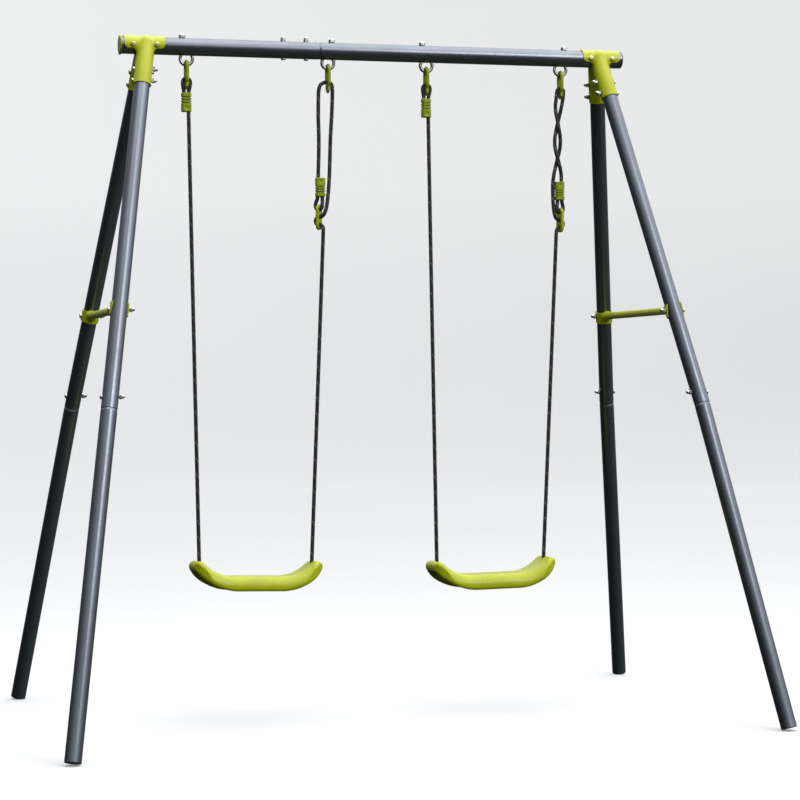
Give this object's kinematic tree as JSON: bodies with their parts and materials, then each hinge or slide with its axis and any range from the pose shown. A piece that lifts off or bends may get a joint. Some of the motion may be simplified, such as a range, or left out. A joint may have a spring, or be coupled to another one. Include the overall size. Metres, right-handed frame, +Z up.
{
  "type": "double swing set",
  "caption": "Free-standing steel tube swing set: four splayed legs in cast corner brackets, a round beam, eye bolts, and rope-hung curved seats with slide adjusters.",
  "frame": {"origin": "on the ground, under the middle of the beam", "axes": "+X along the beam to the right as seen from the front, +Y from front to back, +Z up"},
  "size_m": [2.026, 1.386, 1.9804],
  "materials": {
    "frame_coat": "anthracite metallic powder coat",
    "bracket_coat": "lime green powder coat",
    "green_plastic": "lime green moulded plastic",
    "zinc": "zinc plated steel",
    "rope": "black braided rope with light flecks",
    "black_plastic": "black moulded plastic"
  },
  "bodies": {
    "frame": {"beam_end_cap_left": "green_plastic", "beam_end_cap_right": "black_plastic", "beam_joint_bolts": "zinc", "beam_joint_nuts": "zinc", "beam_left_tube": "frame_coat", "beam_right_tube": "frame_coat", "brace_bolts": "zinc", "brace_nuts": "zinc", "bracket_leg_bolts": "zinc", "bracket_leg_nuts": "zinc", "corner_bracket_left": "bracket_coat", "corner_bracket_right": "bracket_coat", "eye_bolt_1_left": "zinc", "eye_bolt_1_right": "zinc", "eye_bolt_2_left": "zinc", "eye_bolt_2_right": "zinc", "eye_nuts": "zinc", "foot_plug_back_left": "black_plastic", "foot_plug_back_right": "black_plastic", "foot_plug_front_left": "black_plastic", "foot_plug_front_right": "black_plastic", "leg_joint_bolts": "zinc", "leg_joint_nuts": "zinc", "lower_leg_back_left": "frame_coat", "lower_leg_back_right": "frame_coat", "lower_leg_front_left": "frame_coat", "lower_leg_front_right": "frame_coat", "saddle_bolts": "zinc", "saddle_nuts": "zinc", "side_brace_left": "bracket_coat", "side_brace_right": "bracket_coat", "upper_leg_back_left": "frame_coat", "upper_leg_back_right": "frame_coat", "upper_leg_front_left": "frame_coat", "upper_leg_front_right": "frame_coat"},
    "swing_1": {"adjuster_1": "green_plastic", "ferrule_1_left": "green_plastic", "ferrule_1_right": "green_plastic", "hanger_1_left": "green_plastic", "hanger_1_right": "green_plastic", "rope_1_left": "rope", "rope_1_right": "rope"},
    "swing_2": {"adjuster_2": "green_plastic", "ferrule_2_left": "green_plastic", "ferrule_2_right": "green_plastic", "hanger_2_left": "green_plastic", "hanger_2_right": "green_plastic", "rope_2_left": "rope", "rope_2_right": "rope"},
    "seat_1_body": {"knot_1_left": "rope", "knot_1_right": "rope", "seat_1": "green_plastic"},
    "seat_2_body": {"knot_2_left": "rope", "knot_2_right": "rope", "seat_2": "green_plastic"}
  },
  "joints": [
    {"name": "swing_1", "type": "hinge", "parent": "frame", "child": "swing_1", "pos_m": [-0.3575, 0, 1.888], "axis": [1, 0, 0], "range_deg": [-50, 50]},
    {"name": "swing_2", "type": "hinge", "parent": "frame", "child": "swing_2", "pos_m": [0.3575, 0, 1.888], "axis": [1, 0, 0], "range_deg": [-50, 50]},
    {"name": "seat_1_pitch", "type": "hinge", "parent": "swing_1", "child": "seat_1_body", "pos_m": [-0.3739, 0, 0.45055], "axis": [0.9997, 0, -0.0262], "range_deg": [-20, 20]},
    {"name": "seat_2_pitch", "type": "hinge", "parent": "swing_2", "child": "seat_2_body", "pos_m": [0.3371, 0, 0.43857], "axis": [0.9998, 0, 0.0175], "range_deg": [-20, 20]}
  ]
}
